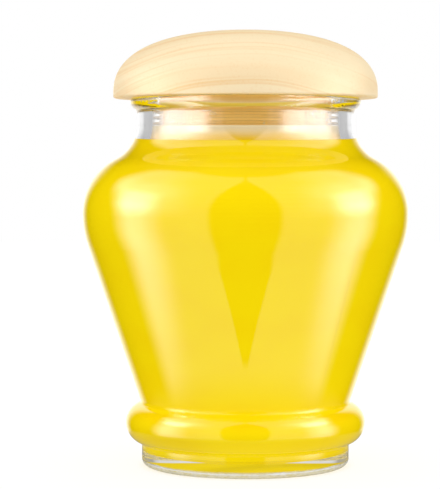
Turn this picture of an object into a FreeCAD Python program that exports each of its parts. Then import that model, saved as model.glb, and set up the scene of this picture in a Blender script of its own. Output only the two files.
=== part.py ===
"""Glass storage jar of an urn shape, filled with a yellow spread and closed by a turned wooden stopper.

Four pieces, all turned about the Z axis, in millimetres, with +Z up and Z = 0 on the surface that
the jar stands on:

  jar       thick moulded glass: foot, round ring, tapered body, shoulder, neck and beaded rim
  contents  the spread, which fills the cavity up to its level in the neck
  stopper   one piece of wood: a mushroom cap with an overhanging edge, and the plug under it
  gasket    a soft ring in the plug's groove, with lips that grip the bore of the neck

Every outline is drawn in the XZ half plane, with points as (radius, height), and revolved. The
outer and the inner surface of the glass are the same chain of tangent lines and arcs, drawn once
as it is and once set back by the wall. The contents are the cavity itself, cut off at their level.
"""
import FreeCAD, Part
import math
import os

# ---- jar, from the foot up ---------------------------------------------------------------------
BEARING_WIDTH = 3.4     # flat ring that the jar stands on
PUSH_UP = 1.6           # height of the hollow under the base, at its centre
HEEL_R = 1.9            # rounding under the foot
RING_R = 31.1           # outer radius of the round ring
RING_SECTION_R = 5.3    # radius of the ring's rounded section
RING_Z = 11.2           # height of the ring's centre
FOOT_STEP = 4.2         # how far the ring stands proud of the foot under it
WAIST_STEP = 4.0        # how far it stands proud of the body above it
RING_SWEEP_R = 0.5      # sweep where the ring meets the foot and the body
BELLY_RISE = 54.2       # from the ring's centre up to the widest point of the body
BELLY_R = 42.2          # radius there
LOWER_BELLY_R = 26.0    # arc below the widest point, which runs into the straight flank
SHOULDER_R = 16.1       # arc above the widest point
NECK_SWEEP_R = 9.4      # sweep from the shoulder into the neck
NECK_R = 28.2           # outer radius of the neck
NECK_HEIGHT = 7.1       # upright part of the neck, up to the lip
BEAD_STEP = 1.6         # how far the bead round the rim stands proud of the neck
BEAD_DEPTH = 3.7        # from the lip down to where the bead has run into the neck
BEAD_TOP_R = 0.7        # rounding of the bead's upper edge
BEAD_UNDER_R = 2.1      # rounding of its lower edge
BEAD_SWEEP_R = 1.0      # hollow sweep from there into the neck
LIP_EDGE_R = 0.8        # rounding of the lip towards the bore

# ---- jar, inside -------------------------------------------------------------------------------
WALL = 3.6              # glass of the body, ring and foot
NECK_WALL = 4.0         # glass of the neck
FLOOR = 3.8             # glass under the contents, above the bearing ring
FLOOR_CORNER_R = 3.6    # rounding between the inner wall and the floor
FLOOR_CROWN = 1.4       # rise of the floor at its centre, which follows the push-up

# ---- contents ----------------------------------------------------------------------------------
HEAD_SPACE = 11.7       # from the lip down to the surface of the contents

# ---- stopper -----------------------------------------------------------------------------------
CAP_OVERHANG = 4.4      # how far the cap stands out past the bead of the rim
CAP_HEIGHT = 17.5       # from the cap's flat underside to its crown
CAP_EDGE = 1.8          # upright band round the cap, its lower rounding included
CAP_EDGE_R = 0.5        # rounding of the band's lower edge
DOME_FULLNESS = 0.640   # pull of the dome's curve: 0.55 is an ellipse, 1 is nearly square
PLUG_DEPTH = 8.05       # from the cap's underside to the end of the plug
PLUG_GAP = 1.9          # between the plug and the bore, which the gasket's lips bridge
PLUG_ROOT_R = 0.8       # sweep between the plug and the cap's underside
PLUG_END_R = 0.5        # rounding round the end of the plug

# ---- gasket ------------------------------------------------------------------------------------
GROOVE_DROP = 3.0       # from the cap's underside to the groove
GROOVE_WIDTH = 4.4      # along the plug
GROOVE_DEPTH = 1.0      # into the plug
LIPS = 3                # lips, evenly spaced along the groove
LIP_ROOT = 0.95         # thickness of a lip at the band that carries it
LIP_TIP = 0.50          # thickness at its rounded tip
LIP_GAP = 0.05          # left between a lip and the bore

# ---- sizes and places that follow --------------------------------------------------------------
FOOT_R = RING_R - FOOT_STEP
WAIST = (RING_R - WAIST_STEP, RING_Z + RING_SECTION_R)
RING_CENTRE = (RING_R - RING_SECTION_R, RING_Z)
BELLY_Z = RING_Z + BELLY_RISE
LOWER_BELLY_CENTRE = (BELLY_R - LOWER_BELLY_R, BELLY_Z)
SHOULDER_CENTRE = (BELLY_R - SHOULDER_R, BELLY_Z)
BORE_R = NECK_R - NECK_WALL
CAP_R = NECK_R + BEAD_STEP + CAP_OVERHANG
PLUG_R = BORE_R - PLUG_GAP
GROOVE_R = PLUG_R - GROOVE_DEPTH
LIP_R = BORE_R - LIP_GAP


# ---- drawing helpers ---------------------------------------------------------------------------
def vector(point):
    return FreeCAD.Vector(point[0], 0, point[1])


def moved(point, direction, distance):
    """The point at a distance along a direction of unit length."""
    return point[0] + direction[0] * distance, point[1] + direction[1] * distance


def towards(start, end):
    """The direction of unit length from one point to another."""
    length = math.dist(start, end)
    return (end[0] - start[0]) / length, (end[1] - start[1]) / length


def line(start, end):
    return Part.LineSegment(vector(start), vector(end)).toShape()


def arc_through(centre, start, crest_direction, end):
    """The arc about a centre that passes it on the side of crest_direction."""
    crest = moved(centre, crest_direction, math.dist(centre, start))
    return Part.Arc(vector(start), vector(crest), vector(end)).toShape()


def arc(centre, start, end):
    """The shorter arc about a centre."""
    middle = ((start[0] + end[0]) / 2, (start[1] + end[1]) / 2)
    return arc_through(centre, start, towards(centre, middle), end)


def shallow_arc(edge, crown):
    """The arc from an edge to a crown on the axis, level at the crown."""
    rise = crown[1] - edge[1]
    radius = (edge[0] ** 2 + rise ** 2) / (2 * rise)
    return arc((0, crown[1] - radius), edge, crown)


def polyline(points):
    return [line(start, end) for start, end in zip(points, points[1:])]


def turned(edges):
    """The solid that a closed outline makes when it is turned about the Z axis."""
    face = Part.Face(Part.Wire(edges))
    solid = face.revolve(FreeCAD.Vector(0, 0, 0), FreeCAD.Vector(0, 0, 1), 360)
    if solid.Volume < 0:
        solid.reverse()
    return solid


# ---- centres and directions that both surfaces of the glass share ------------------------------
def flank_lean():
    """Angle between the straight flank and the vertical: the flank starts at the waist and
    touches the arc under the widest point."""
    run = LOWER_BELLY_CENTRE[0] - WAIST[0]
    rise = LOWER_BELLY_CENTRE[1] - WAIST[1]
    return math.atan2(run, rise) + math.asin(LOWER_BELLY_R / math.hypot(run, rise))


FLANK_UP = (math.sin(flank_lean()), math.cos(flank_lean()))
FLANK_OUT = (math.cos(flank_lean()), -math.sin(flank_lean()))


def waist_sweep_centre():
    """Centre of the sweep that touches the flank and the top of the ring."""
    start = moved(WAIST, FLANK_OUT, RING_SWEEP_R)
    offset = (start[0] - RING_CENTRE[0], start[1] - RING_CENTRE[1])
    along = offset[0] * FLANK_UP[0] + offset[1] * FLANK_UP[1]
    across_squared = offset[0] ** 2 + offset[1] ** 2 - along ** 2
    reach = RING_SECTION_R + RING_SWEEP_R
    return moved(start, FLANK_UP, math.sqrt(reach ** 2 - across_squared) - along)


def foot_sweep_centre():
    """Centre of the sweep that touches the underside of the ring and the upright foot."""
    radius = FOOT_R + RING_SWEEP_R
    reach = RING_SECTION_R + RING_SWEEP_R
    return radius, RING_Z - math.sqrt(reach ** 2 - (radius - RING_CENTRE[0]) ** 2)


def neck_sweep_centre(neck_radius, sweep_radius, shoulder_radius):
    """Centre of the sweep that touches the upright neck and the arc of the shoulder."""
    radius = neck_radius + sweep_radius
    reach = shoulder_radius + sweep_radius
    return radius, BELLY_Z + math.sqrt(reach ** 2 - (radius - SHOULDER_CENTRE[0]) ** 2)


WAIST_SWEEP_CENTRE = waist_sweep_centre()
FOOT_SWEEP_CENTRE = foot_sweep_centre()
RIM_Z = neck_sweep_centre(NECK_R, NECK_SWEEP_R, SHOULDER_R)[1] + NECK_HEIGHT
FILL_Z = RIM_Z - HEAD_SPACE


def body_chain(neck_radius, setback):
    """One surface of the glass, from the upright neck down to the upright foot, set back from the
    outside. Returns where it starts, its edges in order and where it ends."""
    neck_centre = neck_sweep_centre(neck_radius, NECK_SWEEP_R + setback, SHOULDER_R - setback)
    neck_end = (neck_radius, neck_centre[1])
    to_neck = towards(SHOULDER_CENTRE, neck_centre)
    shoulder_top = moved(SHOULDER_CENTRE, to_neck, SHOULDER_R - setback)
    belly = (BELLY_R - setback, BELLY_Z)
    flank_top = moved(LOWER_BELLY_CENTRE, FLANK_OUT, LOWER_BELLY_R - setback)
    flank_end = moved(WAIST_SWEEP_CENTRE, FLANK_OUT, -RING_SWEEP_R - setback)
    to_waist = towards(RING_CENTRE, WAIST_SWEEP_CENTRE)
    ring_top = moved(RING_CENTRE, to_waist, RING_SECTION_R - setback)
    to_foot = towards(RING_CENTRE, FOOT_SWEEP_CENTRE)
    ring_end = moved(RING_CENTRE, to_foot, RING_SECTION_R - setback)
    foot_top = (FOOT_R - setback, FOOT_SWEEP_CENTRE[1])
    edges = [
        arc(neck_centre, neck_end, shoulder_top),
        arc(SHOULDER_CENTRE, shoulder_top, belly),
        arc(LOWER_BELLY_CENTRE, belly, flank_top),
        line(flank_top, flank_end),
        arc(WAIST_SWEEP_CENTRE, flank_end, ring_top),
        arc_through(RING_CENTRE, ring_top, (1, 0), ring_end),
        arc(FOOT_SWEEP_CENTRE, ring_end, foot_top),
    ]
    return neck_end, edges, foot_top


# ---- jar and contents --------------------------------------------------------------------------
def rim_edges(lip_inner, neck_end):
    """From the inner edge of the flat lip over the bead, and down the neck."""
    drop = math.sqrt((BEAD_UNDER_R + BEAD_SWEEP_R) ** 2 - (BEAD_UNDER_R + BEAD_SWEEP_R - BEAD_STEP) ** 2)
    bead_r = NECK_R + BEAD_STEP
    top_centre = (bead_r - BEAD_TOP_R, RIM_Z - BEAD_TOP_R)
    under_centre = (bead_r - BEAD_UNDER_R, RIM_Z - BEAD_DEPTH + drop)
    sweep_centre = (NECK_R + BEAD_SWEEP_R, RIM_Z - BEAD_DEPTH)
    lip_outer = (top_centre[0], RIM_Z)
    bead_top = (bead_r, top_centre[1])
    bead_end = (bead_r, under_centre[1])
    turn = moved(under_centre, towards(under_centre, sweep_centre), BEAD_UNDER_R)
    neck_top = (NECK_R, sweep_centre[1])
    return [
        line(lip_inner, lip_outer),
        arc(top_centre, lip_outer, bead_top),
        line(bead_top, bead_end),
        arc(under_centre, bead_end, turn),
        arc(sweep_centre, turn, neck_top),
        line(neck_top, neck_end),
    ]


def base_edges(foot_top):
    """The upright foot, the heel, the flat bearing ring and the push-up, to the axis."""
    heel_centre = (FOOT_R - HEEL_R, HEEL_R)
    heel_top = (FOOT_R, HEEL_R)
    bearing_outer = (heel_centre[0], 0)
    bearing_inner = (heel_centre[0] - BEARING_WIDTH, 0)
    return [
        line(foot_top, heel_top),
        arc(heel_centre, heel_top, bearing_outer),
        line(bearing_outer, bearing_inner),
        shallow_arc(bearing_inner, (0, PUSH_UP)),
    ]


def cavity_edges(top):
    """The inner surface, from a point at the top of the bore down to the axis."""
    neck_end, chain, foot_top = body_chain(BORE_R, WALL)
    corner_centre = (foot_top[0] - FLOOR_CORNER_R, FLOOR + FLOOR_CORNER_R)
    corner_top = (foot_top[0], corner_centre[1])
    floor_edge = (corner_centre[0], FLOOR)
    return [line(top, neck_end)] + chain + [
        line(foot_top, corner_top),
        arc(corner_centre, corner_top, floor_edge),
        shallow_arc(floor_edge, (0, FLOOR + FLOOR_CROWN)),
    ]


def make_jar():
    neck_end, chain, foot_top = body_chain(NECK_R, 0)
    bore_top = (BORE_R, RIM_Z - LIP_EDGE_R)
    lip_inner = (BORE_R + LIP_EDGE_R, RIM_Z)
    lip_edge = arc((lip_inner[0], bore_top[1]), bore_top, lip_inner)
    outside = rim_edges(lip_inner, neck_end) + chain + base_edges(foot_top)
    axis = line((0, PUSH_UP), (0, FLOOR + FLOOR_CROWN))
    inside = list(reversed(cavity_edges(bore_top)))
    return turned([lip_edge] + outside + [axis] + inside)


def make_contents():
    """The whole cavity, cut off at the level of the contents."""
    top = (BORE_R, RIM_Z)
    lid_line = line((0, RIM_Z), top)
    axis = line((0, FLOOR + FLOOR_CROWN), (0, RIM_Z))
    cavity = turned([lid_line] + cavity_edges(top) + [axis])
    return cavity.common(Part.makeCylinder(BELLY_R, FILL_Z)).Solids[0]


# ---- stopper and gasket ------------------------------------------------------------------------
def dome_edge(foot):
    """The crown of the cap: one curve, level at the axis and upright where it meets the band."""
    crown_z = RIM_Z + CAP_HEIGHT
    rise = crown_z - foot[1]
    curve = Part.BezierCurve()
    curve.setPoles([
        vector((0, crown_z)),
        vector((CAP_R * DOME_FULLNESS, crown_z)),
        vector((CAP_R, foot[1] + rise * DOME_FULLNESS)),
        vector(foot),
    ])
    return curve.toShape()


def make_stopper():
    dome_foot = (CAP_R, RIM_Z + CAP_EDGE)
    edge_centre = (CAP_R - CAP_EDGE_R, RIM_Z + CAP_EDGE_R)
    edge_top = (CAP_R, edge_centre[1])
    underside = (edge_centre[0], RIM_Z)
    root_centre = (PLUG_R + PLUG_ROOT_R, RIM_Z - PLUG_ROOT_R)
    root_outer = (root_centre[0], RIM_Z)
    root_end = (PLUG_R, root_centre[1])
    groove_top_z = RIM_Z - GROOVE_DROP
    groove_end_z = groove_top_z - GROOVE_WIDTH
    plug_end_z = RIM_Z - PLUG_DEPTH
    end_centre = (PLUG_R - PLUG_END_R, plug_end_z + PLUG_END_R)
    plug_side = (PLUG_R, end_centre[1])
    plug_face = (end_centre[0], plug_end_z)
    grooved_side = [root_end, (PLUG_R, groove_top_z), (GROOVE_R, groove_top_z)]
    grooved_side += [(GROOVE_R, groove_end_z), (PLUG_R, groove_end_z), plug_side]
    return turned(
        [dome_edge(dome_foot), line(dome_foot, edge_top), arc(edge_centre, edge_top, underside)]
        + [line(underside, root_outer), arc(root_centre, root_outer, root_end)]
        + polyline(grooved_side)
        + [arc(end_centre, plug_side, plug_face)]
        + polyline([plug_face, (0, plug_end_z), (0, RIM_Z + CAP_HEIGHT)])
    )


def lip_edges(middle_z):
    """One lip from its lower root round the tip to its upper root."""
    tip_centre = (LIP_R - LIP_TIP / 2, middle_z)
    tip_low = (tip_centre[0], middle_z - LIP_TIP / 2)
    tip_high = (tip_centre[0], middle_z + LIP_TIP / 2)
    return [
        line((PLUG_R, middle_z - LIP_ROOT / 2), tip_low),
        arc_through(tip_centre, tip_low, (1, 0), tip_high),
        line(tip_high, (PLUG_R, middle_z + LIP_ROOT / 2)),
    ]


def make_gasket():
    """The band that fills the groove, flush with the plug, and the lips on it."""
    top_z = RIM_Z - GROOVE_DROP
    end_z = top_z - GROOVE_WIDTH
    pitch = GROOVE_WIDTH / LIPS
    edges = []
    here = (PLUG_R, end_z)
    for index in range(LIPS):
        middle_z = end_z + pitch * (index + 0.5)
        edges.append(line(here, (PLUG_R, middle_z - LIP_ROOT / 2)))
        edges += lip_edges(middle_z)
        here = (PLUG_R, middle_z + LIP_ROOT / 2)
    edges += polyline([here, (PLUG_R, top_z), (GROOVE_R, top_z), (GROOVE_R, end_z), (PLUG_R, end_z)])
    return turned(edges)


MAKERS = {"jar": make_jar, "contents": make_contents, "stopper": make_stopper, "gasket": make_gasket}

os.makedirs("parts", exist_ok=True)
for node, make in MAKERS.items():
    solid = make()
    if not solid.isValid() or solid.ShapeType != "Solid":
        raise ValueError(f"{node} isn't one valid solid")
    solid.exportStep(f"parts/{node}.step")
    print(f"{node}: {solid.Volume / 1000:.1f} cm3")
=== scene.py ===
# %% [markdown]
# # A filled glass jar with a wooden stopper
# The object is a small storage jar: thick moulded glass in the shape of an urn, filled with a smooth
# yellow spread, and closed by a turned wooden stopper with a soft ribbed gasket. The four pieces
# come from the packed model, which fixes their size and place. This notebook gives them their
# finish, builds the spread anew so that it wets the glass, and lights the whole like a studio shot.

# %% Load the packed model
import bmesh
import bpy
import math
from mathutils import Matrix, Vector
from mathutils.bvhtree import BVHTree


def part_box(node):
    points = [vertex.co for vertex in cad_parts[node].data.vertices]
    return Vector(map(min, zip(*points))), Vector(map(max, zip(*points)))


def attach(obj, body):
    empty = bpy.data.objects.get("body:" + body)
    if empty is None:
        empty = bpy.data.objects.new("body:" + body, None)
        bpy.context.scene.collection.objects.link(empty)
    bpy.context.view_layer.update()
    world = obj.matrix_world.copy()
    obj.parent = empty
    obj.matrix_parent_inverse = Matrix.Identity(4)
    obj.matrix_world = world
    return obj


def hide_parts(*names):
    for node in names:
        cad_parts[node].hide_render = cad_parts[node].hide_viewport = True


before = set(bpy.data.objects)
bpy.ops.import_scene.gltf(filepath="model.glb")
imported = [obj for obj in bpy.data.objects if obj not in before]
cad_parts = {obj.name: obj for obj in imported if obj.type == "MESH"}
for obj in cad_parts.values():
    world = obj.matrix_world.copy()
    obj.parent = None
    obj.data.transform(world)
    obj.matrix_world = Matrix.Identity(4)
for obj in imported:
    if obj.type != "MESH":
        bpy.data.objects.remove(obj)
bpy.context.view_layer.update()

MM = 0.001
scene = bpy.context.scene
scene.view_settings.view_transform = "Standard"

# %% [markdown]
# ## Shader maths as plain expressions
# A procedural finish is a sum of small patterns, and written as nodes and links it is hard to read.
# One small class wraps a socket instead, so that `1 - mask * 0.4` adds its Math nodes by itself.
# Every other node comes from one method, which sets the node's own settings first and then its
# sockets, so that each finish below reads as a few lines of arithmetic.

# %% The socket class


class Socket:
    """An output of a shader node. Arithmetic on it adds Math nodes to its tree."""

    def __init__(self, socket):
        self.socket = socket
        self.tree = socket.id_data

    @classmethod
    def node(cls, tree, kind, settings=None, inputs=None):
        """Adds a node: its settings first, then values or links for its sockets, by name or place."""
        made = tree.nodes.new("ShaderNode" + kind)
        for name, value in (settings or {}).items():
            setattr(made, name, value)
        for name, value in (inputs or {}).items():
            if isinstance(value, Socket):
                tree.links.new(value.socket, made.inputs[name])
            else:
                made.inputs[name].default_value = value
        return cls(made.outputs[0]) if made.outputs else made

    def out(self, name):
        """Another output of the same node."""
        return Socket(self.socket.node.outputs[name])

    def maths(self, operation, first, second=0.0):
        return Socket.node(self.tree, "Math", {"operation": operation}, {0: first, 1: second})

    def __add__(self, other):
        return self.maths("ADD", self, other)

    def __sub__(self, other):
        return self.maths("SUBTRACT", self, other)

    def __rsub__(self, other):
        return self.maths("SUBTRACT", other, self)

    def __mul__(self, other):
        return self.maths("MULTIPLY", self, other)

    def __truediv__(self, other):
        return self.maths("DIVIDE", self, other)

    def __rtruediv__(self, other):
        return self.maths("DIVIDE", other, self)

    def __abs__(self):
        return self.maths("ABSOLUTE", self)

    __radd__ = __add__
    __rmul__ = __mul__

    def smaller(self, other):
        return self.maths("MINIMUM", self, other)

    def larger(self, other):
        return self.maths("MAXIMUM", self, other)

    def root(self):
        return self.maths("SQRT", self)

    def rise(self, start, end):
        """0 at start, 1 at end, and a smooth rise between; start above end turns it round."""
        settings = {"interpolation_type": "SMOOTHSTEP"}
        if start < end:
            return Socket.node(self.tree, "MapRange", settings, {0: self, 1: start, 2: end})
        inputs = {0: self, 1: end, 2: start, 3: 1.0, 4: 0.0}
        return Socket.node(self.tree, "MapRange", settings, inputs)

    def band(self, start, full, fade, end):
        """0 before start and past end, 1 from full to fade, and smooth between."""
        return self.rise(start, full) * self.rise(end, fade)


print("shader maths ready:", ", ".join(name for name in vars(Socket) if not name.startswith("_")))

# %% [markdown]
# ## A few helpers for every finish
# All the pieces are turned about one upright axis, so most patterns here follow the height above
# the table or the distance from the axis. One helper gives both in millimetres. The others mix two
# colours, start an empty material, and close it with its surface shader.

# %% Helpers for a finish
WHITE = (1.0, 1.0, 1.0, 1.0)


def place_in_mm(tree):
    """X, Y and Z of the point in millimetres, and its distance from the jar's axis."""
    place = Socket.node(tree, "TexCoord").out("Object")
    xyz = Socket.node(tree, "SeparateXYZ", inputs={0: place})
    x, y, z = xyz.out("X") / MM, xyz.out("Y") / MM, xyz.out("Z") / MM
    return x, y, z, (x * x + y * y).root()


def noise(tree, x, y, z, detail=2.0):
    """A soft random pattern from 0 to 1, about one blob to a unit."""
    vector = Socket.node(tree, "CombineXYZ", inputs={0: x, 1: y, 2: z})
    return Socket.node(tree, "TexNoise", inputs={"Vector": vector, "Scale": 1.0, "Detail": detail})


def mixed(tree, factor, first, second):
    """A colour between two colours."""
    colours = [value if isinstance(value, Socket) else (*value, 1.0) for value in (first, second)]
    inputs = {"Factor": factor, 6: colours[0], 7: colours[1]}
    return Socket.node(tree, "Mix", {"data_type": "RGBA"}, inputs).out(2)


def blend(tree, factor, first, second):
    """A shader between two shaders."""
    return Socket.node(tree, "MixShader", inputs={0: factor, 1: first, 2: second})


def new_material(name):
    """An empty material and its tree."""
    material = bpy.data.materials.new(name)
    material.use_nodes = True
    material.node_tree.nodes.clear()
    return material, material.node_tree


def finish_surface(tree, shader):
    Socket.node(tree, "OutputMaterial", inputs={"Surface": shader})


print("helpers ready")

# %% [markdown]
# ## Camera
# A long lens stands a little above the middle of the jar and looks very slightly down, so that the
# underside of the cap just shows while the foot is seen from above. The camera looks a few
# millimetres past the jar's axis instead of shifting the lens, which keeps other views centred.
# The frame is taller than it is wide, so the sensor's size spans its height.

# %% The camera
CAMERA_DISTANCE = 520 * MM
CAMERA_HEIGHT = 77.9 * MM
AIM = Vector((-6.6 * MM, 0, 57.35 * MM))
FRAME_HEIGHT = 127.1 * MM
SENSOR = 36.0

lens_data = bpy.data.cameras.new("camera")
lens_data.sensor_width = SENSOR
camera = bpy.data.objects.new("camera", lens_data)
scene.collection.objects.link(camera)
camera.location = (0, -CAMERA_DISTANCE, CAMERA_HEIGHT)
sight = AIM - camera.location
camera.rotation_mode = "QUATERNION"
camera.rotation_quaternion = sight.to_track_quat("-Z", "Y")
lens_data.lens = SENSOR * sight.length / FRAME_HEIGHT
lens_data.clip_start = 10 * MM
scene.camera = camera
print("lens mm:", round(lens_data.lens, 1))

# %% [markdown]
# ## Glass
# The jar is clear soda glass, pressed in a mould. Its whole look comes from refraction and from
# what it mirrors, so the shader is a plain smooth glass with only the faint ripple that a mould
# leaves. Years of being pushed along shelves have scuffed the heel that it stands on, so a matt
# grey layer is mixed in there, by height and by distance from the axis. Real glass lets light
# reach what is inside. Tracing that light through the bent surfaces is slow and noisy, so rays
# that only ask for light pass straight through, while rays that look at the glass see it bend.
#
# The jar is a body of revolution, so its true normal always lies in the plane through its axis.
# The packed mesh has a seam on one side, where its normals lean a little out of that plane, and
# refraction would make a hard upright line of it. The finish turns the normal back before use.

# %% The glass finish
GLASS_IOR = 1.5
RIPPLE_SIZE = 18
RIPPLE_DEPTH = 0.02 * MM
HEEL_HEIGHT = 2.1
HEEL_FADE = 0.7
HEEL_RADIUS = 21.6
HEEL_WEAR = 0.75
HEEL_GREY = (0.72, 0.72, 0.69, 1.0)


def lets_light_through(tree, shader):
    """The shader for what looks at it, and nothing at all for rays that only look for light."""
    path = Socket.node(tree, "LightPath")
    seeks_light = path.out("Is Shadow Ray").larger(path.out("Is Diffuse Ray"))
    clear = Socket.node(tree, "BsdfTransparent", inputs={"Color": WHITE})
    return blend(tree, seeks_light, shader, clear)


def turned_normal(tree):
    """The surface's normal, turned to lie exactly in the plane through the jar's axis."""
    x, y, _, away = place_in_mm(tree)
    normal = Socket.node(tree, "NewGeometry").out("Normal")
    xyz = Socket.node(tree, "SeparateXYZ", inputs={0: normal})
    outward = (xyz.out("X") * x + xyz.out("Y") * y) / away
    parts = {0: outward * x / away, 1: outward * y / away, 2: xyz.out("Z")}
    return Socket.node(tree, "CombineXYZ", inputs=parts)


def glass_finish():
    material, tree = new_material("clear glass")
    x, y, z, away = place_in_mm(tree)
    ripple = noise(tree, x / RIPPLE_SIZE, y / RIPPLE_SIZE, z / RIPPLE_SIZE, detail=1.0)
    bump = Socket.node(tree, "Bump", inputs={
        "Height": ripple,
        "Strength": 0.15,
        "Distance": RIPPLE_DEPTH,
        "Normal": turned_normal(tree),
    })
    clear = Socket.node(tree, "BsdfPrincipled", inputs={
        "Base Color": WHITE,
        "Roughness": 0.0,
        "IOR": GLASS_IOR,
        "Transmission Weight": 1.0,
        "Normal": bump,
    })
    matt = Socket.node(tree, "BsdfPrincipled", inputs={
        "Base Color": HEEL_GREY,
        "Roughness": 0.35,
        "IOR": GLASS_IOR,
    })
    scuffs = noise(tree, x / 1.5, y / 1.5, z * 2).rise(0.3, 0.6) * 0.3 + 0.7
    on_the_heel = z.rise(HEEL_HEIGHT, HEEL_HEIGHT - HEEL_FADE) * away.rise(HEEL_RADIUS - 1, HEEL_RADIUS)
    worn = on_the_heel * scuffs * HEEL_WEAR
    finish_surface(tree, lets_light_through(tree, blend(tree, worn, clear, matt)))
    return material


def give(node, material):
    """Puts a finish on every slot of a packed piece."""
    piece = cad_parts[node]
    for slot in piece.material_slots:
        slot.material = material
    print(node, "is now", material.name)


give("jar", glass_finish())

# %% [markdown]
# ## Wood
# The stopper is one piece of pale, close-grained wood, turned on a lathe and varnished satin. The
# year rings of the tree are nearly flat here and run from front to back, so the dome cuts them
# into wide arches at the front and long loops on top. The finish draws the rings as shells round a
# line far below the cap, bends them a little, and reads one noise very quickly across the rings
# and slowly along them, which gives lines that always stay in the ring. A second, broader noise
# gives bands, and short fibres run front to back. Below the cap the plug is painted darker and
# browner, as painted shade for the dim light inside the neck. A yellow line is painted where the
# cap sits on the lip, a painted reflection of the spread seen through the glass rim. Heights up
# the cap are counted from its underside, which is where the jar ends.

# %% The wood finish
WOOD_PALE = (0.955, 0.775, 0.49)
WOOD_GRAIN = (0.89, 0.59, 0.265)
# Painted shade: the plug's wood as it looks in the dim neck, darker and browner than the cap.
SHADED_PLUG_PALE = (0.97, 0.60, 0.13)
SHADED_PLUG_GRAIN = (0.86, 0.49, 0.08)
# Painted reflection: the spread's yellow seen through the glass rim, put on the cap where it sits on
# the lip.
PAINTED_RIM_YELLOW = (1.0, 0.80, 0.12)
WOOD_ROUGHNESS = 0.45
WOOD_IOR = 1.56
RING_LINE_HEIGHT = 5.0
RING_TILT = 0.05
RING_SWAY = 3.0
SWAY_SIZE = 38
LINES_ACROSS = 1.05
LINES_ALONG = 0.012
BANDS_ACROSS = 0.17
BANDS_ALONG = 0.008
FIBRES_ACROSS = 1.7
FIBRES_ALONG = 0.07
LINE_SHARE = 0.62
BAND_SHARE = 0.28
FIBRE_SHARE = 0.2
PORE_DEPTH = 0.06 * MM
LIP_RADIUS = 29.4
CAP_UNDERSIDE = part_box("jar")[1][2] / MM


def wood_finish():
    material, tree = new_material("pale turned wood")
    x, y, z, away = place_in_mm(tree)
    sway = noise(tree, x / SWAY_SIZE, y / SWAY_SIZE, z / SWAY_SIZE, detail=1.0)
    drop = z + y * RING_TILT - RING_LINE_HEIGHT
    ring = (x * x + drop * drop).root() + (sway - 0.5) * RING_SWAY
    lines = noise(tree, x * LINES_ALONG, y * LINES_ALONG, ring * LINES_ACROSS, detail=3.0)
    bands = noise(tree, x * BANDS_ALONG, y * BANDS_ALONG, ring * BANDS_ACROSS, detail=1.0)
    fibres = noise(tree, x * FIBRES_ACROSS, y * FIBRES_ALONG, z * FIBRES_ACROSS)
    grain = lines.rise(0.47, 0.68) * LINE_SHARE + bands.rise(0.40, 0.66) * BAND_SHARE
    grain = grain + fibres.rise(0.52, 0.75) * FIBRE_SHARE
    pale = mixed(tree, grain, WOOD_PALE, WOOD_GRAIN)
    # Painted shade: the plug below the cap is drawn darker and browner.
    shaded_plug = mixed(tree, grain, SHADED_PLUG_PALE, SHADED_PLUG_GRAIN)
    up = z - CAP_UNDERSIDE
    in_the_neck = up.rise(-0.1, -1.0)
    # Painted reflection: a yellow line on the cap at the lip, for the spread seen in the rim.
    on_the_lip = up.band(-0.5, -0.2, 0.1, 0.3) * away.rise(LIP_RADIUS + 0.2, LIP_RADIUS - 0.2)
    colour = mixed(tree, on_the_lip, mixed(tree, in_the_neck, pale, shaded_plug), PAINTED_RIM_YELLOW)
    pores = Socket.node(tree, "Bump", inputs={
        "Height": lines * 0.6 + fibres * 0.4,
        "Strength": 0.15,
        "Distance": PORE_DEPTH,
    })
    shader = Socket.node(tree, "BsdfPrincipled", inputs={
        "Base Color": colour,
        "Roughness": lines * 0.08 + WOOD_ROUGHNESS,
        "IOR": WOOD_IOR,
        "Normal": pores,
    })
    finish_surface(tree, shader)
    return material


give("stopper", wood_finish())

# %% [markdown]
# ## Gasket
# The ring in the plug's groove is soft translucent silicone with three lips. Behind thick glass it
# hardly shows, apart from its broad sheen, so it is a low-index rough glass with a sheen that
# varies a little, as on silicone that has been handled, and half of what is seen is simply clear.

# %% The gasket finish
SILICONE = (1.0, 0.99, 0.96, 1.0)
SILICONE_IOR = 1.38
SILICONE_CLEARNESS = 0.5


def gasket_finish():
    material, tree = new_material("translucent silicone")
    x, y, z, _ = place_in_mm(tree)
    handled = noise(tree, x / 3, y / 3, z / 3)
    shader = Socket.node(tree, "BsdfPrincipled", inputs={
        "Base Color": SILICONE,
        "Roughness": handled * 0.08 + 0.22,
        "IOR": SILICONE_IOR,
        "Transmission Weight": 1.0,
    })
    clear = Socket.node(tree, "BsdfTransparent", inputs={"Color": WHITE})
    finish_surface(tree, lets_light_through(tree, blend(tree, SILICONE_CLEARNESS, shader, clear)))
    return material


give("gasket", gasket_finish())

# %% [markdown]
# ## Spread
# The spread fills the jar to just under the plug. Where a thick food wets glass there is no air
# between them, so nothing glints there and the colour comes right up to the wall. A solid that
# only touches the glass would leave a thin mirror of air, so the piece is built anew from the
# packed outline and reaches a little way into the wall, and a little deeper into the floor. It is
# a lathe job: the outline is measured on the packed piece by casting a ray at each height, and
# turned about the axis. The first and last rays start just inside the piece, so that they hit it.

# %% Turning on a lathe
TURNS = 192
ON_THE_AXIS = 1e-9
SAME_POINT = 1e-8


def new_object(name, bm):
    """An object from a finished bmesh."""
    mesh = bpy.data.meshes.new(name)
    bm.to_mesh(mesh)
    bm.free()
    made = bpy.data.objects.new(name, mesh)
    scene.collection.objects.link(made)
    return made


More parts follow.
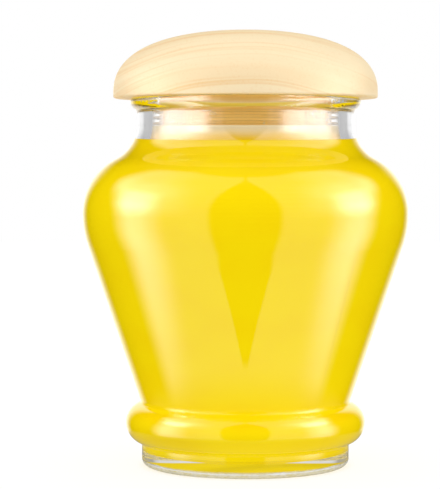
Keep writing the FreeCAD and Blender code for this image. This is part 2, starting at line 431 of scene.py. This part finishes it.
def turn(bm, outline):
    """Turns an outline about Z into smooth walls. A point on the axis becomes one vertex."""
    angles = [2 * math.pi * i / TURNS for i in range(TURNS)]
    rings = []
    for radius, z in outline:
        around = angles if radius > ON_THE_AXIS else [0.0]
        rings.append([bm.verts.new((radius * math.cos(a), radius * math.sin(a), z)) for a in around])
    for low, high in zip(rings, rings[1:]):
        for i in range(TURNS):
            j = (i + 1) % TURNS
            corners = [low[i % len(low)], low[j % len(low)], high[j % len(high)], high[i % len(high)]]
            bm.faces.new(list(dict.fromkeys(corners))).smooth = True


def lathe(name, outline):
    """A closed piece: the outline turned about Z, with its ends joined and its faces outward."""
    bm = bmesh.new()
    turn(bm, outline)
    bmesh.ops.remove_doubles(bm, verts=bm.verts, dist=SAME_POINT)
    bmesh.ops.recalc_face_normals(bm, faces=bm.faces)
    return new_object(name, bm)


print("a turned piece has", TURNS, "steps round")

# %% Measuring the contents
WETTING = 0.15 * MM
FLOOR_WETTING = 0.5 * MM
SIDE_STEPS = 400
JUST_INSIDE = 1e-4


def outline_of(node, steps):
    """The radius of a packed piece at evenly spaced heights, measured from outside along -X."""
    tree = BVHTree.FromObject(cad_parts[node], bpy.context.evaluated_depsgraph_get())
    low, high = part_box(node)
    found = []
    for i in range(steps + 1):
        z = low[2] + (high[2] - low[2]) * min(max(i / steps, JUST_INSIDE), 1 - JUST_INSIDE)
        hit = tree.ray_cast(Vector((high[0] + 1.0, 0, z)), Vector((-1, 0, 0)))[0]
        found.append((hit.x, z))
    return found


spread_low, spread_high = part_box("contents")
LEVEL = spread_high[2]
side = [(radius + WETTING, z) for radius, z in outline_of("contents", SIDE_STEPS)]
widest = max(radius for radius, z in side)
print("level mm:", round(LEVEL / MM, 2), "widest radius mm:", round(widest / MM, 2))

# %% [markdown]
# ## The spread's finish
# Its colour is a full warm yellow with the faintest drift in it, as a stirred paste has. Against
# the glass it is matt, because nothing but the paste itself is left to see. Only its free surface
# in the neck shines, so a second shader with a low ripple takes over at the level.

# %% The spread
SPREAD_COLOUR = (0.985, 0.735, 0.003)
SPREAD_DRIFT = (0.975, 0.705, 0.003)
SPREAD_IOR = 1.47
WAVE_SIZE = 5
WAVE_DEPTH = 0.3 * MM
SURFACE_RINGS = 12


def spread_finish():
    material, tree = new_material("yellow spread")
    x, y, z, _ = place_in_mm(tree)
    drift = noise(tree, x / 14, y / 14, z / 9).rise(0.35, 0.7)
    colour = mixed(tree, drift, SPREAD_COLOUR, SPREAD_DRIFT)
    wet = Socket.node(tree, "BsdfPrincipled", inputs={
        "Base Color": colour,
        "Roughness": 0.6,
        "Specular IOR Level": 0.0,
    })
    waves = Socket.node(tree, "Bump", inputs={
        "Height": noise(tree, x / WAVE_SIZE, y / WAVE_SIZE, z / WAVE_SIZE),
        "Strength": 0.3,
        "Distance": WAVE_DEPTH,
    })
    free = Socket.node(tree, "BsdfPrincipled", inputs={
        "Base Color": colour,
        "Roughness": 0.12,
        "IOR": SPREAD_IOR,
        "Normal": waves,
    })
    at_the_top = z.rise(LEVEL / MM - 0.06, LEVEL / MM - 0.03)
    finish_surface(tree, blend(tree, at_the_top, wet, free))
    return material


floor_height = spread_low[2] - FLOOR_WETTING
bottom = [(0, floor_height), (side[0][0], floor_height)]
surface = [(side[-1][0] * k / SURFACE_RINGS, LEVEL) for k in reversed(range(SURFACE_RINGS))]
spread = lathe("spread", bottom + side + surface)
spread.data.materials.append(spread_finish())
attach(spread, "root")
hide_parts("contents")
print("spread faces:", len(spread.data.polygons))

# %% [markdown]
# ## Smear
# A jar that has been carried is never clean above its level: a thin coat of the spread clings to
# the bore, dense at the bottom and thinning out towards the plug. It is a separate skin, turned
# from the bore's own outline and held just off the wall, so that the glass keeps its mirror
# edges. Where it is thin it only tints what is behind it, and where it is thick it covers. The
# finish mixes the paste with a tinted clear shader, by height and by a streaky noise, and makes
# the paste itself paler upwards.

# %% The smear
SMEAR_OUTSIDE = 0.02 * MM
SMEAR_INSIDE = 0.15 * MM
SMEAR_LOW = LEVEL - 0.3 * MM
SMEAR_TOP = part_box("gasket")[0][2] - 0.1 * MM
SMEAR_STEPS = 24
CLEAR_BELOW = 0.08
CLEARER_ABOVE = 0.27
SMEAR_TINT = (1.0, 0.93, 0.74, 1.0)
SMEAR_THICK = (0.93, 0.58, 0.01)
SMEAR_THIN = (1.0, 0.88, 0.62)


def smear_finish():
    material, tree = new_material("smeared spread")
    x, y, z, _ = place_in_mm(tree)
    streaks = noise(tree, x / 6, y / 6, z / 3)
    up = (z - LEVEL / MM) / ((SMEAR_TOP - LEVEL) / MM)
    thin = (up + (streaks - 0.5) * 0.25).rise(0.0, 1.0)
    paste = Socket.node(tree, "BsdfPrincipled", inputs={
        "Base Color": mixed(tree, thin, SMEAR_THICK, SMEAR_THIN),
        "Roughness": 0.2,
        "IOR": SPREAD_IOR,
    })
    tint = Socket.node(tree, "BsdfTransparent", inputs={"Color": SMEAR_TINT})
    coat = blend(tree, thin * CLEARER_ABOVE + CLEAR_BELOW, paste, tint)
    finish_surface(tree, lets_light_through(tree, coat))
    return material


def bore_outline(low, high, steps):
    """The radius of the jar's bore at evenly spaced heights, measured from the axis."""
    tree = BVHTree.FromObject(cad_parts["jar"], bpy.context.evaluated_depsgraph_get())
    heights = [low + (high - low) * k / steps for k in range(steps + 1)]
    return [(tree.ray_cast(Vector((0, 0, z)), Vector((1, 0, 0)))[0].x, z) for z in heights]


bore = bore_outline(SMEAR_LOW, SMEAR_TOP, SMEAR_STEPS)
outer = [(radius - SMEAR_OUTSIDE, z) for radius, z in bore]
inner = [(radius - SMEAR_INSIDE, z) for radius, z in reversed(bore)]
smear = lathe("smear", outer + inner + outer[:1])
smear.data.materials.append(smear_finish())
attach(smear, "root")
bore_radius, smear_height = bore[-1]
print("smear up to mm:", round(smear_height / MM, 2), "in a bore of radius", round(bore_radius / MM, 2))

# %% [markdown]
# ## Floor
# The jar stands on a plain white table. Its white is the colour of the paint, and rays from the
# camera or through the glass see it a little brighter than it is lit, so that it meets the white
# background without an edge while the soft shadow of the jar still shows. What the table sends up
# to matt pieces is even, as from the rest of the light tent. Under the foot its glow is turned
# down, as painted shade. In the gloss of the glass only a dim patch near the foot is seen, a
# painted shadow of the jar, and past it the lit screens go on downwards, as they do over a table
# that itself mirrors a little.

# %% The floor
FLOOR_HALF = 1.5
FLOOR_WHITE = 0.93
GLOW_SHARE = 0.8
GLOW_STRENGTH = 1.02
SHADE_IN_GLOSS = 0.25
SHADOW_IN_GLOSS_RADII = (44, 64)
FOOT_RADIUS = 26.9
SHADE_UNDER_FOOT = 0.6


def floor_finish():
    material, tree = new_material("white table")
    path = Socket.node(tree, "LightPath")
    x, y, z, away = place_in_mm(tree)
    grainy = noise(tree, x / 2, y / 2, z) * 0.01 + 0.995
    # Painted shade: under the foot the table's glow is turned down.
    open_table = away.rise(FOOT_RADIUS - 3, FOOT_RADIUS + 2) * SHADE_UNDER_FOOT + (1 - SHADE_UNDER_FOOT)
    looks = path.out("Is Camera Ray").larger(path.out("Is Transmission Ray")) * open_table * GLOW_SHARE
    shows = looks.larger(path.out("Is Diffuse Ray"))
    paint = (FLOOR_WHITE, FLOOR_WHITE, FLOOR_WHITE, 1)
    painted = Socket.node(tree, "BsdfDiffuse", inputs={"Color": paint})
    glow = {"Color": WHITE, "Strength": grainy * GLOW_STRENGTH}
    glowing = Socket.node(tree, "Emission", inputs=glow)
    # Painted shadow of the jar, seen only in the gloss of the glass near the foot.
    shade = Socket.node(tree, "Emission", inputs={"Color": WHITE, "Strength": SHADE_IN_GLOSS})
    clear = Socket.node(tree, "BsdfTransparent", inputs={"Color": WHITE})
    in_gloss = blend(tree, away.rise(*SHADOW_IN_GLOSS_RADII), shade, clear)
    seen = blend(tree, shows, painted, glowing)
    finish_surface(tree, blend(tree, path.out("Is Glossy Ray"), seen, in_gloss))
    return material


bm = bmesh.new()
corners = [(-1, -1), (1, -1), (1, 1), (-1, 1)]
bm.faces.new([bm.verts.new((FLOOR_HALF * x, FLOOR_HALF * y, 0)) for x, y in corners])
floor = new_object("floor", bm)
floor.data.materials.append(floor_finish())
print("floor m:", 2 * FLOOR_HALF)

# %% [markdown]
# ## Studio
# Gloss on glass is a picture of the room, so the room decides what the jar looks like. Lamps with
# size and place would do, but each of them would light the matt wood and the spread as well. So
# the room is a tube round the jar that glows in a pattern and shows itself only to mirrored rays.
# It stands close, so the foot, the belly and the neck each mirror it at their own angle, which a
# picture painted far away on the world could not do.
#
# The first step is to tell the rays apart. A ray can be mirrored on the outside of the glass, or
# enter it, be mirrored inside and come out again. Both see the tube, each in its own way.

# %% Which rays see the screens


def left_through_glass(tree):
    """1 for a ray that was mirrored inside the jar and then came out through the glass."""
    path = Socket.node(tree, "LightPath")
    return path.out("Is Transmission Ray") * path.out("Glossy Depth").smaller(1.0)


def is_mirrored(tree):
    """1 for a ray that was mirrored, and so sees the screens."""
    path = Socket.node(tree, "LightPath")
    return path.out("Is Glossy Ray").larger(left_through_glass(tree)) * (1 - path.out("Is Camera Ray"))


def around_the_jar(x, y):
    """The angle in degrees from the side of the camera, round to 180 behind the jar."""
    return x.maths("ARCTAN2", abs(x), 0 - y) * (180 / math.pi)


print("mirrored rays are told apart from straight ones")

# %% [markdown]
# ## The screens
# The tube's pattern is two tall white screens, left and right. Between them, towards the camera,
# is a dark gap shaped like a kite: it comes to a point below, is widest beside the belly and closes
# slowly above. Each screen carries soft lights: a low glow beside the belly, a lamp at the height
# of the neck with a faint tail towards the gap, and a glow above. Behind the jar is a white
# backdrop, with dark room between it and the screens. All of it follows from two numbers, the
# angle round the jar and the height, so every shape is a product of smooth rises.

# %% The pattern of the screens
CEILING_LEVEL = 0.1
CEILING_HEIGHTS = (180, 300)
BACKDROP_LEVEL = 1.2
BACKDROP_ANGLES = (129, 148)
BACKDROP_HEIGHTS = (136, 92)
SCREEN_LEVEL = 1.1
LOW_SCREEN_LOSS = 0.5
LOW_SCREEN_HEIGHTS = (-140, -84)
SCREEN_ANGLE = 85
SCREEN_WIDENS = 23
SCREEN_NARROWS = 22
SCREEN_TOP = (480, 350)
GAP_ANGLE = 18.7
GAP_WIDENS = 2.9
GAP_CLOSES = 20
GAP_SOFTNESS = 2.5
GAP_POINT = -79
GAP_SLOPE = 2.5

# Each light has its level, then four angles and four heights: it starts at the first number, is
# full from the second to the third, and is gone at the fourth. 180 degrees is behind the jar.
SCREEN_LIGHTS = {
    "low glow": (4.0, (47, 71, 76, 108), (-90, 20, 90, 130)),
    "lamp": (4.9, (50, 68, 78, 100), (62, 92, 118, 150)),
    "tail of the lamp": (1.25, (27, 52, 70, 95), (60, 95, 130, 240)),
    "upper glow": (1.6, (38, 78, 180, 181), (100, 135, 135, 205)),
    "upper wash": (1.0, (38, 78, 180, 181), (100, 135, 200, 430)),
}


def lit_part(around, z):
    """1 on the two screens, 0 in the gap between them and past their outer edges."""
    gap_edge = GAP_ANGLE + z.rise(-60, 60) * GAP_WIDENS - z.rise(75, 320) * GAP_CLOSES
    beside_gap = (around - gap_edge).rise(-GAP_SOFTNESS, GAP_SOFTNESS)
    under_edges = (z - around * GAP_SLOPE).rise(GAP_POINT + 2, GAP_POINT - 2)
    under_gap = under_edges.larger(z.rise(GAP_POINT + 9, GAP_POINT + 3))
    widened = SCREEN_ANGLE + z.rise(60, 160) * SCREEN_WIDENS
    outer_edge = widened - z.rise(230, 400) * SCREEN_NARROWS
    inside = (outer_edge - around).rise(-10, 11) * z.rise(*SCREEN_TOP)
    return beside_gap.larger(under_gap) * inside


def screen_pattern(around, z):
    """How bright the tube is, by the angle round the jar and the height in mm."""
    level = z.rise(*LOW_SCREEN_HEIGHTS) * LOW_SCREEN_LOSS + (SCREEN_LEVEL - LOW_SCREEN_LOSS)
    for strength, angles, heights in SCREEN_LIGHTS.values():
        level = level + around.band(*angles) * z.band(*heights) * strength
    backdrop = around.rise(*BACKDROP_ANGLES) * z.rise(*BACKDROP_HEIGHTS) * BACKDROP_LEVEL
    ceiling = z.rise(*CEILING_HEIGHTS) * CEILING_LEVEL
    return (lit_part(around, z) * level).larger(backdrop).larger(ceiling)


print("lights on each screen:", ", ".join(SCREEN_LIGHTS))

# %% [markdown]
# ## What comes out through the glass
# A ray that was mirrored inside the jar and came out again looks past the screens into the white
# room, which is a little grey where the screens end. In the neck, where the glass is empty, such
# rays make the broad sheen beside the plug, so they see a bright band of their own. Low down they
# leave through the foot and the glass floor, and find less light there.

# %% The tube of screens
SCREEN_DISTANCE = 140 * MM
SCREEN_LOW = -450 * MM
SCREEN_HIGH = 600 * MM
THROUGH_LEVEL = 0.97
THROUGH_ANGLES = (95, 112)
GREY_LOSS = 0.38
GREY_ANGLES = (112, 122, 150, 160)
NECK_HEIGHTS = (60, 80, 120, 150)
NECK_ANGLES = (118, 100)
SHEEN_LEVEL = 9.8
SHEEN_LOSS = 0.85
SHEEN_STARTS = (31, 50)
SHEEN_DIMS = (55, 78)
LOW_SHADE = 0.4
LOW_HEIGHTS = (70, 40)


def white_behind(around):
    """The white room that shows through glass past the screens, a little grey where they end."""
    return THROUGH_LEVEL - around.band(*GREY_ANGLES) * GREY_LOSS


def sheen_of_the_neck(around):
    """The bright band that makes the neck's sheen, with a dim side away from the camera."""
    return (around.rise(*SHEEN_STARTS) - around.rise(*SHEEN_DIMS) * SHEEN_LOSS) * SHEEN_LEVEL


def screen_finish():
    material, tree = new_material("lit screens")
    x, y, z, _ = place_in_mm(tree)
    around = around_the_jar(x, y)
    left = left_through_glass(tree)
    from_the_neck = left * z.band(*NECK_HEIGHTS) * around.rise(*NECK_ANGLES)
    pattern = screen_pattern(around, z) * (1 - from_the_neck)
    strength = pattern + sheen_of_the_neck(around) * from_the_neck
    strength = strength.larger(left * around.rise(*THROUGH_ANGLES) * white_behind(around))
    strength = strength * (1 - left * z.rise(*LOW_HEIGHTS) * LOW_SHADE)
    glowing = Socket.node(tree, "Emission", inputs={"Color": strength})
    clear = Socket.node(tree, "BsdfTransparent", inputs={"Color": WHITE})
    finish_surface(tree, blend(tree, is_mirrored(tree), clear, glowing))
    material.cycles.emission_sampling = "NONE"
    return material


bm = bmesh.new()
turn(bm, [(SCREEN_DISTANCE, SCREEN_LOW), (SCREEN_DISTANCE, SCREEN_HIGH)])
screens = new_object("screens", bm)
screens.data.materials.append(screen_finish())
screens.visible_camera = False
screens.visible_diffuse = False
screens.visible_shadow = False
screens.visible_volume_scatter = False
print("screens mm from the axis:", round(SCREEN_DISTANCE / MM))

# %% [markdown]
# ## World
# Everything matt is lit evenly from all sides, as in a light tent, at a plain level at which a
# colour looks about as it is written. The background is plain white where the camera sees it, and
# nearly so through clear glass. Mirrored rays that pass over the screens see a dark ceiling.

# %% The world
TENT_LEVEL = 1.2

world = bpy.data.worlds.new("studio")
scene.world = world
world.use_nodes = True
tree = world.node_tree
tree.nodes.clear()
path = Socket.node(tree, "LightPath")
straight = path.out("Is Camera Ray")
mirrored = is_mirrored(tree)
through = (1 - straight) * (1 - mirrored) * path.out("Is Transmission Ray")
tent = 1 - straight - through - mirrored
sight_line = Socket.node(tree, "TexCoord").out("Generated")
direction = Socket.node(tree, "SeparateXYZ", inputs={0: sight_line})
behind = white_behind(around_the_jar(direction.out("X"), direction.out("Y")))
strength = straight + through * behind + mirrored * CEILING_LEVEL + tent * TENT_LEVEL
background = Socket.node(tree, "Background", inputs={"Color": WHITE, "Strength": strength})
Socket.node(tree, "OutputWorld", inputs={"Surface": background})
print("world nodes:", len(tree.nodes))

# %% [markdown]
